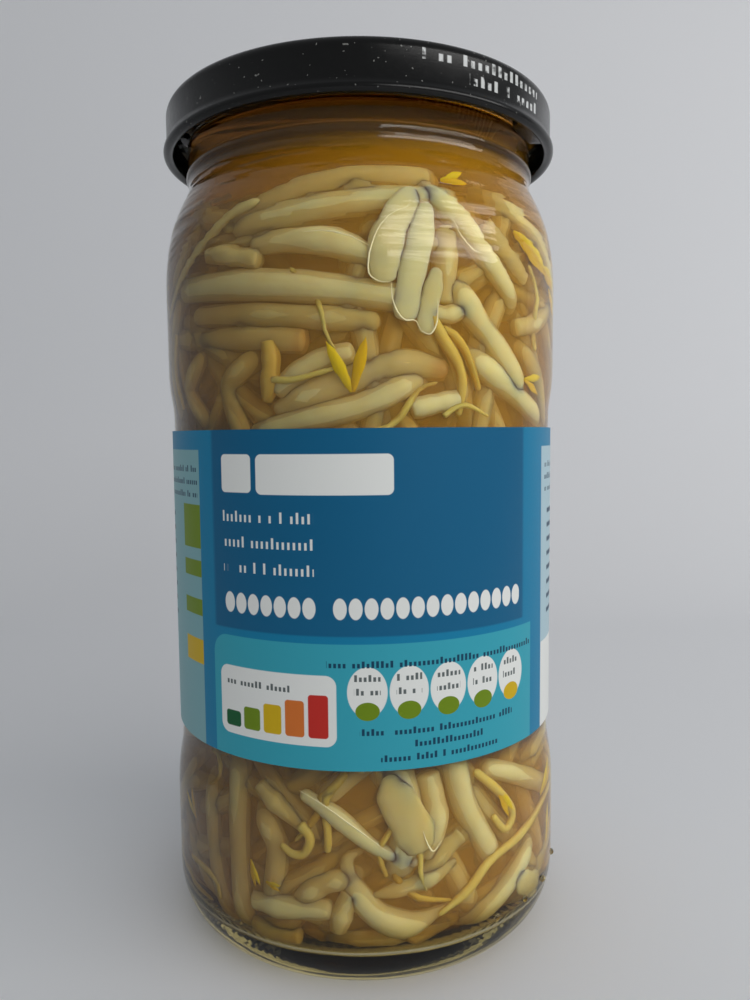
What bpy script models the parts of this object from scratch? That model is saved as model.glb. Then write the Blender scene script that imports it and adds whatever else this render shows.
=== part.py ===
"""Jar of bean sprouts in brine: glass jar, twist-off lid with its seal, paper wrap label.

The jar stands upright on its bearing ring, with the origin at the middle of its base.
Lengths are in metres, heights are above the surface that the jar stands on.
"""
import math
import random

import bmesh
import bpy
from mathutils import Matrix, Vector
from mathutils.geometry import interpolate_bezier

MM = 0.001
GAP = 0.3 * MM                    # kept between pieces that touch on the real jar

# Glass jar
JAR_HEIGHT = 135.5 * MM           # up to the sealing rim
SHOULDER_RADIUS = 33.5 * MM
HEEL_RADIUS = 33.8 * MM
PANEL_RADIUS = 32.8 * MM          # shallow band that takes the label
PANEL_LOW = 33.6 * MM
PANEL_HIGH = 86.0 * MM
NECK_RADIUS = 29.3 * MM
NECK_BORE = 26.9 * MM
BODY_BORE = 31.2 * MM
FLOOR_TOP = 5.2 * MM              # thick glass floor
FLOOR_DOME = 0.8 * MM
FLOOR_EDGE = 26.0 * MM            # where the floor starts to curve up into the wall
PUNT_HEIGHT = 2.6 * MM            # hollow under the base
PUNT_TURN = 14.0 * MM             # radius at which the hollow flattens
BEARING_INNER = 24.6 * MM
BEARING_OUTER = 27.6 * MM
SHOULDER_TOP = 125.0 * MM
SHOULDER_FOOT = 104.0 * MM
NECK_FOOT = 125.5 * MM            # lower end of the straight bore of the neck
BEAD_HEIGHT = 126.6 * MM          # thin ring round the neck
BEAD_RISE = 0.4 * MM
RIM_ROUND = 0.6 * MM

# Twist-off closure
LUG_COUNT = 4
FIRST_LUG = math.radians(-118)    # angle round Z of the first lug on the closed jar
LUG_SWEEP = math.radians(18)
THREAD_SWEEP = math.radians(52)
THREAD_LEAD = math.radians(10)    # how far a thread starts before the lug's middle
THREAD_CREST = 31.0 * MM
THREAD_LOW = 131.7 * MM           # underside of a thread's low end
THREAD_THICK = 1.1 * MM
RISE_PER_RADIAN = 1.6 * MM

# Lid
LID_TOP = 137.5 * MM
LID_LOW = 129.6 * MM
LID_RADIUS = 32.75 * MM
LID_SHEET = 0.35 * MM
LID_CORNER = 1.6 * MM
LID_PANEL_RADIUS = 26.6 * MM
LID_PANEL_DROP = 0.9 * MM
BUTTON_RADIUS = 11.0 * MM
BUTTON_RISE = 0.35 * MM
CURL_RADIUS = 0.85 * MM
CURL_CENTRE = 32.45 * MM
LUG_TIP = 29.9 * MM
LUG_THICK = 1.5 * MM

# Seal, label and brine
SEAL_INNER = 27.2 * MM
SEAL_OUTER = 31.2 * MM
LABEL_BOTTOM = 35.1 * MM
LABEL_TOP = 84.4 * MM
LABEL_SHEET = 0.15 * MM
LABEL_RADIUS = 33.05 * MM
LABEL_OVERLAP = 0.1 * MM          # air between the glued ends
LAP_STEPS = 2                     # facets over which the ends lie on each other
BRINE_LEVEL = 131.0 * MM
BRINE_FOOT = 8.6 * MM             # lower end of the liquid's film on the wall
BRINE_FILM = 0.7 * MM             # liquid between the sprouts and the glass
HOLE_TOP = 119.6 * MM

# Sprouts
CORE_INSET = 5.6 * MM             # the packed core stands back this far from the glass
CORE_BUMP = 0.6 * MM
CORE_MARGIN = 2.2 * MM            # from the ends of a bunch to the ends of its core
SINK = 1.5 * MM                   # how far a stem's ends dip towards the core
SKIN = 1.7 * MM                   # clear of the glass and of the brine's film
SECOND_ROW = 1.3 * MM             # how much deeper the stems behind the front ones lie
FRONT_FROM = -62                  # degrees round that the front stems cover
FRONT_TO = 78
GOLDEN_TURN = 137.508             # degrees from one packed stem to the next
SEED = 24

STEPS = 36                        # facets round a turned piece
BRINE_STEPS = 24
SEAL_STEPS = 32
CORE_STEPS = 15
FRONT_POINTS = 5                  # along a stem at the front
PACKED_POINTS = 4

GLASS_COLOUR = (0.86, 0.90, 0.87)
LID_COLOUR = (0.012, 0.012, 0.013)
SEAL_COLOUR = (0.78, 0.76, 0.68)
LABEL_COLOUR = (0.0, 0.16, 0.33)
BRINE_COLOUR = (0.62, 0.47, 0.16)
SPROUT_COLOUR = (0.80, 0.73, 0.50)

# Stems that lie against the glass at the front, as (diameter in mm, [(degrees round from the
# front, height in mm), ...]). The places are read off the jar by eye.
UPPER_FRONT = [
    (2.0, [(-66, 106), (-46, 112), (-34, 115), (-20, 117)]),
    (3.4, [(-34, 112), (-12, 113), (8, 114)]),
    (4.0, [(-30, 109), (-12, 110), (5, 108)]),
    (4.4, [(-54, 105), (-22, 105), (10, 103)]),
    (4.0, [(-50, 101), (-18, 100), (6, 99)]),
    (4.0, [(-56, 97), (-34, 97), (-12, 96)]),
    (3.8, [(18, 114), (8, 111), (6, 106)]),
    (3.6, [(20, 112), (17, 108), (14, 100)]),
    (3.6, [(26, 111), (26, 106), (25, 101)]),
    (3.8, [(26, 114), (35, 110), (46, 106)]),
    (4.4, [(34, 103), (40, 98), (52, 93)]),
    (3.2, [(46, 113), (64, 110), (80, 104)]),
    (4.0, [(42, 92), (52, 90), (64, 86)]),
    (4.2, [(-24, 87), (-8, 91), (12, 93), (28, 94)]),
    (3.6, [(-14, 84), (2, 86), (16, 90)]),
    (3.4, [(-38, 95), (-46, 90), (-40, 83)]),
    (2.4, [(-24, 97), (-24, 94), (-22, 90)]),
    (1.8, [(24, 100), (27, 96), (32, 92), (31, 86)]),
    (3.4, [(17, 87), (24, 88), (32, 88)]),
]
LOWER_FRONT = [
    (2.6, [(-16, 29), (-3, 25), (8, 21), (17, 20)]),
    (3.2, [(-1, 22), (-2, 17), (6, 13), (18, 10)]),
    (1.8, [(24, 11), (36, 14), (50, 17), (78, 19)]),
    (1.8, [(-26, 27), (-18, 26), (-14, 23), (-20, 21)]),
    (3.4, [(-44, 31), (-42, 20), (-44, 10)]),
    (4.0, [(-32, 31), (-30, 22), (-31, 14)]),
    (4.0, [(-32, 11), (-20, 10), (-8, 12)]),
    (3.4, [(-18, 14), (-12, 16), (-6, 19)]),
    (4.6, [(9, 32), (13, 27), (12, 21)]),
    (4.4, [(29, 31), (34, 26), (41, 20)]),
    (1.8, [(38, 28), (50, 24), (48, 20), (40, 24)]),
    (3.0, [(6, 14), (18, 17), (30, 18)]),
    (3.8, [(46, 15), (50, 12), (53, 9)]),
    (3.6, [(44, 31), (58, 28), (72, 24)]),
]
# Pairs of yellow seed leaves: degrees round, height and lean of the pair in degrees.
SEED_LEAVES = [(0, 90, 0), (56, 103, 150), (47, 84, 60), (-30, 17, -60), (80, 16, 20)]


def clear_scene():
    """Removes whatever the file held before."""
    for old in list(bpy.data.objects):
        bpy.data.objects.remove(old)


def make_collection(name):
    """A collection linked to the scene."""
    collection = bpy.data.collections.new(name)
    bpy.context.scene.collection.children.link(collection)
    return collection


def make_material(name, colour, roughness, metallic=0.0, transmission=0.0):
    """A Principled material."""
    material = bpy.data.materials.new(name)
    material.use_nodes = True
    shader = material.node_tree.nodes["Principled BSDF"]
    shader.inputs["Base Color"].default_value = (*colour, 1.0)
    shader.inputs["Roughness"].default_value = roughness
    shader.inputs["Metallic"].default_value = metallic
    shader.inputs["Transmission Weight"].default_value = transmission
    return material


def add_object(name, mesh, collection, material=None):
    """An object for a mesh."""
    piece = bpy.data.objects.new(name, mesh)
    if material:
        mesh.materials.append(material)
    collection.objects.link(piece)
    return piece


def curve_between(start, start_handle, end_handle, end, count):
    """Points on a Bezier curve in the outline's plane."""
    corners = [Vector((r, z)) for r, z in (start, start_handle, end_handle, end)]
    return [tuple(point) for point in interpolate_bezier(*corners, count)]


def arc(centre, radius, start, end, count):
    """Points on an arc in the outline's plane, angles in degrees from outwards."""
    angles = [math.radians(start + (end - start) * i / (count - 1)) for i in range(count)]
    return [(centre[0] + radius * math.cos(a), centre[1] + radius * math.sin(a)) for a in angles]


def turned(name, outline, collection, material, steps=STEPS, closed=False):
    """A piece turned about Z from its outline, which runs down its outer side."""
    mesh = bpy.data.meshes.new(name)
    edges = [(i, i + 1) for i in range(len(outline) - 1)]
    if closed:
        edges.append((len(outline) - 1, 0))
    mesh.from_pydata([(r, 0.0, z) for r, z in outline], edges, [])
    piece = add_object(name, mesh, collection, material)
    screw = piece.modifiers.new("turn", "SCREW")
    screw.axis = "Z"
    screw.angle = math.tau
    screw.steps = steps
    screw.render_steps = steps
    screw.use_merge_vertices = True
    screw.merge_threshold = 0.01 * MM
    screw.use_smooth_shade = True
    return piece


def sector(name, corners, middle, sweep, rise, collection, steps):
    """A bar bent round Z: its section's corners swept through an angle, climbing as it goes."""
    shape = bmesh.new()
    start = middle - sweep / 2
    ring = []
    for r, z in corners:
        ring.append(shape.verts.new((r * math.cos(start), r * math.sin(start), z)))
    face = shape.faces.new(ring)
    bmesh.ops.spin(
        shape,
        geom=[face, *face.edges, *face.verts],
        cent=(0, 0, 0),
        axis=(0, 0, 1),
        dvec=(0, 0, rise / steps),
        angle=sweep,
        steps=steps,
        use_duplicate=False,
    )
    bmesh.ops.holes_fill(shape, edges=[edge for edge in shape.edges if edge.is_boundary])
    bmesh.ops.recalc_face_normals(shape, faces=shape.faces)
    mesh = bpy.data.meshes.new(name)
    shape.to_mesh(mesh)
    shape.free()
    return add_object(name, mesh, collection)


def fuse(piece, extras):
    """Joins the objects of a collection to a piece and removes them."""
    union = piece.modifiers.new("join", "BOOLEAN")
    union.operation = "UNION"
    union.operand_type = "COLLECTION"
    union.collection = extras
    union.solver = "EXACT"
    depsgraph = bpy.context.evaluated_depsgraph_get()
    mesh = bpy.data.meshes.new_from_object(piece.evaluated_get(depsgraph))
    mesh.name = piece.name
    piece.modifiers.clear()
    piece.data = mesh
    for extra in list(extras.objects):
        bpy.data.objects.remove(extra)
    bpy.data.collections.remove(extras)


def drop_scraps(piece):
    """Keeps only the largest connected body, so that no sealed hollow or loose scrap is left."""
    shape = bmesh.new()
    shape.from_mesh(piece.data)
    waiting = set(shape.verts)
    bodies = []
    while waiting:
        front = [waiting.pop()]
        body = list(front)
        while front:
            vert = front.pop()
            for edge in vert.link_edges:
                other = edge.other_vert(vert)
                if other in waiting:
                    waiting.remove(other)
                    front.append(other)
                    body.append(other)
        bodies.append(body)
    bodies.sort(key=len, reverse=True)
    for body in bodies[1:]:
        bmesh.ops.delete(shape, geom=body, context="VERTS")
    shape.to_mesh(piece.data)
    shape.free()


def bore_outline(inset, high=JAR_HEIGHT):
    """The jar's inner wall from the edge of its floor up to the neck, moved in by inset."""
    floor = FLOOR_TOP + inset
    bore = BODY_BORE - inset
    neck = NECK_BORE - inset
    points = curve_between(
        (FLOOR_EDGE - inset, floor),
        (FLOOR_EDGE + 3.6 * MM - inset, floor),
        (bore, floor + 2.6 * MM),
        (bore, floor + 7.5 * MM),
        5,
    )
    points.append((bore, PANEL_LOW - 6 * MM))
    points.append((bore - 0.35 * MM, PANEL_LOW + 2 * MM))
    points.append((bore - 0.35 * MM, PANEL_HIGH - 2 * MM))
    points.append((bore, PANEL_HIGH + 7 * MM))
    points.extend(
        curve_between(
            (bore, SHOULDER_FOOT),
            (bore + 0.7 * MM, SHOULDER_FOOT + 14.5 * MM),
            (neck + 0.3 * MM, NECK_FOOT - 6 * MM),
            (neck, NECK_FOOT),
            6,
        )
    )
    return [point for point in points if point[1] <= high]


def bore_radius(height, inset=0.0):
    """Radius of the inner wall at a height."""
    points = bore_outline(inset)
    if height <= points[0][1]:
        return points[0][0]
    for (low_r, low_z), (high_r, high_z) in zip(points, points[1:]):
        if height <= high_z:
            share = (height - low_z) / (high_z - low_z)
            return low_r + (high_r - low_r) * share
    return points[-1][0]


def glass_outline():
    """From the middle of the floor up the inner wall, over the rim and down to the base."""
    rim = RIM_ROUND
    points = [(0.0, FLOOR_TOP + FLOOR_DOME), (PUNT_TURN, FLOOR_TOP + 0.6 * FLOOR_DOME)]
    points.extend(bore_outline(0.0))
    points.extend(arc((NECK_BORE + rim, JAR_HEIGHT - rim), rim, 180, 90, 3))
    points.extend(arc((NECK_RADIUS - rim, JAR_HEIGHT - rim), rim, 90, 0, 3))
    points.append((NECK_RADIUS, BEAD_HEIGHT + 1.2 * MM))
    points.append((NECK_RADIUS + BEAD_RISE, BEAD_HEIGHT + 0.4 * MM))
    points.append((NECK_RADIUS + BEAD_RISE, BEAD_HEIGHT - 0.4 * MM))
    points.extend(
        curve_between(
            (NECK_RADIUS, SHOULDER_TOP),
            (NECK_RADIUS + 0.3 * MM, SHOULDER_TOP - 4 * MM),
            (SHOULDER_RADIUS + 0.5 * MM, SHOULDER_TOP - 5 * MM),
            (SHOULDER_RADIUS, SHOULDER_FOOT),
            7,
        )
    )
    points.extend(
        curve_between(
            (SHOULDER_RADIUS, PANEL_HIGH + 9 * MM),
            (SHOULDER_RADIUS, PANEL_HIGH + 4 * MM),
            (PANEL_RADIUS, PANEL_HIGH + 3.5 * MM),
            (PANEL_RADIUS, PANEL_HIGH),
            4,
        )
    )
    points.extend(
        curve_between(
            (PANEL_RADIUS, PANEL_LOW),
            (PANEL_RADIUS, PANEL_LOW - 4 * MM),
            (HEEL_RADIUS, PANEL_LOW - 5 * MM),
            (HEEL_RADIUS, PANEL_LOW - 11 * MM),
            4,
        )
    )
    points.extend(
        curve_between(
            (HEEL_RADIUS, 10.0 * MM),
            (HEEL_RADIUS, 4.0 * MM),
            (BEARING_OUTER + 3.4 * MM, 0.9 * MM),
            (BEARING_OUTER, 0.0),
            6,
        )
    )
    points.append((BEARING_INNER, 0.0))
    points.append((BEARING_INNER - 1.6 * MM, 1.3 * MM))
    points.append((PUNT_TURN, 0.85 * PUNT_HEIGHT))
    points.append((0.0, PUNT_HEIGHT))
    return points


def lug_azimuth(index):
    """Where each lug of the closed lid sits, an angle round Z."""
    return FIRST_LUG + index * math.tau / LUG_COUNT


def build_jar(parts, material):
    """The glass jar with the threads of its finish."""
    jar = turned("glass_jar", glass_outline(), parts, material)
    threads = make_collection("threads")
    root = NECK_RADIUS - 0.8 * MM
    for index in range(LUG_COUNT):
        middle = lug_azimuth(index) - THREAD_LEAD + THREAD_SWEEP / 2
        corners = [
            (root, THREAD_LOW),
            (THREAD_CREST, THREAD_LOW),
            (THREAD_CREST, THREAD_LOW + 0.5 * THREAD_THICK),
            (root, THREAD_LOW + THREAD_THICK + 0.4 * MM),
        ]
        rise = RISE_PER_RADIAN * THREAD_SWEEP
        sector(f"thread_{index}", corners, middle, THREAD_SWEEP, rise, threads, 7)
    fuse(jar, threads)
    return jar


def lid_outline():
    """Sheet steel: out over the top, down the skirt, round the curl and back up inside."""
    top = LID_TOP
    sheet = LID_SHEET
    panel = top - LID_PANEL_DROP
    corner = (LID_RADIUS - LID_CORNER, top - LID_CORNER)
    curl = (CURL_CENTRE, LID_LOW + CURL_RADIUS)
    points = [(0.0, panel + BUTTON_RISE), (BUTTON_RADIUS - 1.5 * MM, panel + BUTTON_RISE)]
    points.append((BUTTON_RADIUS, panel))
    points.append((LID_PANEL_RADIUS, panel))
    points.append((LID_PANEL_RADIUS + 1.0 * MM, top - 0.1 * MM))
    points.append((LID_PANEL_RADIUS + 1.8 * MM, top))
    points.extend(arc(corner, LID_CORNER, 90, 0, 3))
    points.append((LID_RADIUS, curl[1] + CURL_RADIUS + 0.3 * MM))
    points.extend(arc(curl, CURL_RADIUS, 40, -220, 7))
    points.append((LID_RADIUS - sheet, curl[1] + CURL_RADIUS + 0.3 * MM))
    points.extend(arc(corner, LID_CORNER - sheet, 0, 90, 3))
    points.append((LID_PANEL_RADIUS + 1.8 * MM, top - sheet))
    points.append((LID_PANEL_RADIUS + 1.0 * MM + sheet, top - 0.1 * MM - sheet))
    points.append((LID_PANEL_RADIUS + sheet, panel - sheet))
    points.append((BUTTON_RADIUS, panel - sheet))
    points.append((BUTTON_RADIUS - 1.5 * MM, panel + BUTTON_RISE - sheet))
    points.append((0.0, panel + BUTTON_RISE - sheet))
    return points


def build_lid(parts, material):
    """The lid with the four lugs pressed in from its curl."""
    lid = turned("lid_shell", lid_outline(), parts, material)
    lugs = make_collection("lugs")
    low = LID_LOW + 0.15 * MM
    for index in range(LUG_COUNT):
        corners = [
            (CURL_CENTRE, low),
            (CURL_CENTRE, low + LUG_THICK - 0.1 * MM),
            (LUG_TIP, low + LUG_THICK),
            (LUG_TIP, low + 0.35 * MM),
        ]
        sector(f"lug_{index}", corners, lug_azimuth(index), LUG_SWEEP, 0.0, lugs, 4)
    fuse(lid, lugs)
    return lid


def build_seal(parts, material):
    """The moulded sealing ring between the lid and the rim of the glass."""
    low = JAR_HEIGHT + GAP
    high = LID_TOP - LID_SHEET - GAP
    edge = 0.3 * MM
    inner = LID_PANEL_RADIUS + 1.8 * MM
    outline = [
        (inner, high),
        (SEAL_OUTER - edge, high),
        (SEAL_OUTER, high - edge),
        (SEAL_OUTER, low + edge),
        (SEAL_OUTER - edge, low),
        (SEAL_INNER, low),
    ]
    return turned("lid_seal", outline, parts, material, steps=SEAL_STEPS, closed=True)


def build_label(parts, material):
    """The wrap label: one paper strip round the jar, its ends glued over each other at the back."""
    step = math.tau / STEPS
    start = math.pi / 2 - step
    shape = bmesh.new()
    section = []
    for radius, height in (
        (LABEL_RADIUS, LABEL_BOTTOM),
        (LABEL_RADIUS + LABEL_SHEET, LABEL_BOTTOM),
        (LABEL_RADIUS + LABEL_SHEET, LABEL_TOP),
        (LABEL_RADIUS, LABEL_TOP),
    ):
        place = (radius * math.cos(start), radius * math.sin(start), height)
        section.append(shape.verts.new(place))
    face = shape.faces.new(section)
    for number in range(1, STEPS + LAP_STEPS + 1):
        extruded = bmesh.ops.extrude_face_region(shape, geom=[face])
        if number > 1:
            bmesh.ops.delete(shape, geom=[face], context="FACES_ONLY")
        face = next(item for item in extruded["geom"] if isinstance(item, bmesh.types.BMFace))
        turn = Matrix.Rotation(step, 3, "Z")
        bmesh.ops.rotate(shape, cent=(0, 0, 0), matrix=turn, verts=face.verts)
        if number == STEPS:
            angle = start + number * step
            lift = Vector((math.cos(angle), math.sin(angle), 0)) * (LABEL_SHEET + LABEL_OVERLAP)
            bmesh.ops.translate(shape, vec=lift, verts=face.verts)
    bmesh.ops.recalc_face_normals(shape, faces=shape.faces)
    mesh = bpy.data.meshes.new("label")
    shape.to_mesh(mesh)
    shape.free()
    return add_object("label", mesh, parts, material)


def build_brine(parts, material):
    """The brine: a layer above the sprouts and a film down the wall, with one plain hole."""
    outer = list(reversed(bore_outline(GAP)))
    hole = bore_outline(GAP + BRINE_FILM, HOLE_TOP - 0.5 * MM)
    neck = NECK_BORE - GAP
    lowest = BRINE_FOOT + 0.4 * MM
    keep = [point for point in outer if point[1] > lowest]
    rise = [point for point in hole if point[1] > lowest]
    points = [(0.0, BRINE_LEVEL), (neck - 0.6 * MM, BRINE_LEVEL), (neck, BRINE_LEVEL + 0.4 * MM)]
    points.extend(keep)
    points.append((bore_radius(lowest, GAP), BRINE_FOOT))
    points.append((bore_radius(lowest, GAP + BRINE_FILM), BRINE_FOOT))
    points.extend(rise)
    points.append((bore_radius(HOLE_TOP, GAP + BRINE_FILM), HOLE_TOP))
    points.append((0.0, HOLE_TOP))
    return turned("brine", points, parts, material, steps=BRINE_STEPS)


def smooth_route(points, count):
    """Evenly shared points on a smooth curve through the given ones."""
    padded = [2 * points[0] - points[1], *points, 2 * points[-1] - points[-2]]
    route = []
    spans = len(points) - 1
    for i in range(count):
        place = spans * i / (count - 1)
        k = min(int(place), spans - 1)
        t = place - k
        a, b, c, d = padded[k:k + 4]
        route.append(0.5 * (
            2 * b + (c - a) * t + (2 * a - 5 * b + 4 * c - d) * t ** 2
            + (3 * b - a - 3 * c + d) * t ** 3
        ))
    return route


def on_wall(degrees, height, depth):
    """A point at an angle round from the front (-Y) and a distance in from the glass."""
    angle = math.radians(degrees)
    radius = bore_radius(height) - depth
    return Vector((radius * math.sin(angle), -radius * math.cos(angle), height))


def stem(name, points, diameter, collection, count, taper=0.8, sides=1):
    """A round stem on a smooth route, slimmer at its ends."""
    curve = bpy.data.curves.new(name, "CURVE")
    curve.dimensions = "3D"
    curve.bevel_depth = diameter / 2
    curve.bevel_resolution = sides
    curve.use_fill_caps = True
    spline = curve.splines.new("POLY")
    route = smooth_route(points, count)
    spline.points.add(len(route) - 1)
    for i, (target, place) in enumerate(zip(spline.points, route)):
        share = 2 * i / (len(route) - 1) - 1
        target.co = (*place, 1.0)
        target.radius = 1 - (1 - taper) * share ** 4
    source = bpy.data.objects.new(name, curve)
    collection.objects.link(source)
    depsgraph = bpy.context.evaluated_depsgraph_get()
    mesh = bpy.data.meshes.new_from_object(source.evaluated_get(depsgraph))
    bpy.data.objects.remove(source)
    shape = bmesh.new()
    shape.from_mesh(mesh)
    bmesh.ops.remove_doubles(shape, verts=shape.verts, dist=0.001 * MM)
    bmesh.ops.recalc_face_normals(shape, faces=shape.faces)
    shape.to_mesh(mesh)
    shape.free()
    return add_object(name, mesh, collection)


def front_stems(rows, collection):
    """The stems against the glass at the front, their ends dipping towards the core."""
    for number, (size, places) in enumerate(rows):
        diameter = size * MM
        last = len(places) - 1
        points = []
        for i, (degrees, height) in enumerate(places):
            dip = SINK + 1.8 * MM - 0.45 * diameter if i in (0, last) else 0.0
            points.append(on_wall(degrees, height * MM, SKIN + diameter / 2 + dip))
        sides = 1 if size > 2 else 0
        stem(f"front_{number}", points, diameter, collection, FRONT_POINTS, sides=sides)


def packed_stems(rng, count, low, high, has_front, collection):
    """Stems shared evenly round the jar and over its height, deeper behind the front ones."""
    for number in range(count):
        degrees = (number * GOLDEN_TURN + rng.uniform(-8, 8) + 180) % 360 - 180
        share = (number + rng.uniform(0.1, 0.9)) / count
        diameter = rng.uniform(3.0, 4.4) * MM
        length = rng.uniform(20, 34) * MM
        tilt = math.radians(rng.choice((-1, 1)) * rng.uniform(5, 75))
        bow = rng.uniform(-3.0, 3.0) * MM
        middle = low + (high - low) * share
        behind = has_front and FRONT_FROM < degrees < FRONT_TO
        depth = SKIN + diameter / 2 + (SECOND_ROW if behind else 0.0)
        points = []
        for s in (-1, -0.33, 0.33, 1):
            reach = s * length / 2
            height = middle + reach * math.sin(tilt) + bow * (1 - s * s)
            height = min(max(height, low + diameter / 2), high - diameter / 2)
            turn = math.degrees(reach * math.cos(tilt) / BODY_BORE)
            dip = (SINK + 0.4 * MM) * s * s
            points.append(on_wall(degrees + turn, height, depth + dip))
        sides = 0 if behind else 1
        stem(f"packed_{number}", points, diameter, collection, PACKED_POINTS, sides=sides)


def seed_leaves(places, low, high, collection):
    """Pairs of pointed yellow leaves, each a thin blade that opens from a short stalk."""
    for number, (degrees, height, lean) in enumerate(places):
        if not low < height * MM < high:
            continue
        for side in (-1, 1):
            spread = math.radians(lean + side * 30)
            points = []
            for reach, dip in ((0.0, 3.4), (3.5, 0.4), (7.5, 0.0)):
                turn = math.degrees(reach * math.sin(spread) * MM / BODY_BORE)
                place = height + reach * math.cos(spread)
                depth = SKIN + (1.0 + dip) * MM
                points.append(on_wall(degrees + turn, place * MM, depth))
            name = f"leaf_{number}_{side}"
            stem(name, points, 1.8 * MM, collection, PACKED_POINTS, taper=0.35, sides=0)


def core_outline(low, high):
    """The packed middle of a bunch, which the stems stand out of."""
    count = 5
    heights = [high - (high - low) * i / (count - 1) for i in range(count)]
    points = [(0.0, high)]
    for i, height in enumerate(heights):
        radius = bore_radius(height) - CORE_INSET
        if i in (0, count - 1):
            radius -= 3 * MM
        points.append((radius, height))
    points.append((0.0, low))
    return points


def roughen(piece, rng):
    """Makes a turned piece a plain mesh and moves its corners in and out by a seeded draw."""
    depsgraph = bpy.context.evaluated_depsgraph_get()
    mesh = bpy.data.meshes.new_from_object(piece.evaluated_get(depsgraph))
    piece.modifiers.clear()
    piece.data = mesh
    for vert in mesh.vertices:
        share = 1 + rng.uniform(-1, 1) * CORE_BUMP / BODY_BORE
        vert.co.x *= share
        vert.co.y *= share


def build_bunch(name, low, high, count, front, seed, parts, material):
    """One bunch of sprouts, fused into a single body between two heights."""
    core = core_outline(low + CORE_MARGIN, high - CORE_MARGIN)
    bunch = turned(name, core, parts, material, steps=CORE_STEPS)
    roughen(bunch, random.Random(seed))
    stems = make_collection(name + "_stems")
    front_stems(front, stems)
    packed_stems(random.Random(seed), count, low, high, bool(front), stems)
    seed_leaves(SEED_LEAVES, low, high, stems)
    fuse(bunch, stems)
    drop_scraps(bunch)
    return bunch


def build_all():
    """Every piece of the jar."""
    clear_scene()
    parts = make_collection("jar_of_bean_sprouts")
    glass = make_material("glass", GLASS_COLOUR, 0.03, transmission=1.0)
    steel = make_material("lid_enamel", LID_COLOUR, 0.32)
    seal = make_material("seal", SEAL_COLOUR, 0.55)
    paper = make_material("label_paper", LABEL_COLOUR, 0.45)
    brine = make_material("brine", BRINE_COLOUR, 0.02, transmission=1.0)
    sprout = make_material("sprout", SPROUT_COLOUR, 0.35)
    build_jar(parts, glass)
    build_lid(parts, steel)
    build_seal(parts, seal)
    build_label(parts, paper)
    build_brine(parts, brine)
    build_bunch("sprouts_upper", 79.5 * MM, 119.0 * MM, 37, UPPER_FRONT, SEED, parts, sprout)
    build_bunch("sprouts_middle", 42.0 * MM, 79.0 * MM, 10, [], SEED + 1, parts, sprout)
    build_bunch("sprouts_lower", 6.6 * MM, 41.5 * MM, 33, LOWER_FRONT, SEED + 2, parts, sprout)


build_all()
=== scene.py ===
"""Looks of the jar of bean sprouts: glass, brine, sprouts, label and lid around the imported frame."""
import math
import random

import bmesh
import bpy
from mathutils import Matrix, Vector
from mathutils.geometry import interpolate_bezier


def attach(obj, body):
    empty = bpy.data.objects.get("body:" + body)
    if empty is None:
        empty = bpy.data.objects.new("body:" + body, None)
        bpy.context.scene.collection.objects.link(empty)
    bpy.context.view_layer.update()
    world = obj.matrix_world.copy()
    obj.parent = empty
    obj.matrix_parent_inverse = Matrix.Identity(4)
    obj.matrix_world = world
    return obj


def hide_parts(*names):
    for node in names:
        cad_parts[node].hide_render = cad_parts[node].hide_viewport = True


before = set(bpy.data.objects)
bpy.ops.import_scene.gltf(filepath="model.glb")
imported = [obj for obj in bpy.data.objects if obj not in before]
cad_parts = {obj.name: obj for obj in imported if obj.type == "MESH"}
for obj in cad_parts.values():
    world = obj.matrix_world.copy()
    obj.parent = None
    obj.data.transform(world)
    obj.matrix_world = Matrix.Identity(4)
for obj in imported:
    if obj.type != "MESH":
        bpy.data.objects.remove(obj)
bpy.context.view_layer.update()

MM = 0.001
WALL_OVERLAP = 0.04 * MM          # brine reaches this far into the glass, so no air shows between

# Glass jar, as in the frame
JAR_HEIGHT = 135.5 * MM
SHOULDER_RADIUS = 33.5 * MM
HEEL_RADIUS = 33.8 * MM
PANEL_RADIUS = 32.8 * MM
PANEL_LOW = 33.6 * MM
PANEL_HIGH = 86.0 * MM
NECK_RADIUS = 29.3 * MM
NECK_BORE = 26.9 * MM
BODY_BORE = 31.2 * MM
FLOOR_FLAT = 26.0 * MM            # radius of the domed floor
FLOOR_TOP = 5.2 * MM
FLOOR_DOME = 0.8 * MM
PUNT_HEIGHT = 2.6 * MM
BEARING_INNER = 24.6 * MM
BEARING_OUTER = 27.6 * MM
SHOULDER_TOP = 125.0 * MM
SHOULDER_FOOT = 104.0 * MM
BEAD_HEIGHT = 126.6 * MM
BEAD_RISE = 0.4 * MM
RIM_ROUND = 0.6 * MM
GLASS_STEPS = 160
KNURLS = 88                       # small ribs across the bearing ring
HEEL_TICKS = (39, 51, 63, 79)     # mould ticks on the heel, degrees round from the front
HEEL_TICK = 0.6 * MM
TICK_RADIUS = 33.7 * MM
TICK_HEIGHT = 9.0 * MM

# Closure
LUG_COUNT = 4
FIRST_LUG = math.radians(-118)
LUG_SWEEP = math.radians(18)
THREAD_SWEEP = math.radians(52)
THREAD_LEAD = math.radians(10)
THREAD_CREST = 31.0 * MM
THREAD_LOW = 131.7 * MM
THREAD_THICK = 1.1 * MM
RISE_PER_RADIAN = 1.6 * MM
END_TAPER = 0.6                   # lugs and thread segments shrink to this at their ends

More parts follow.
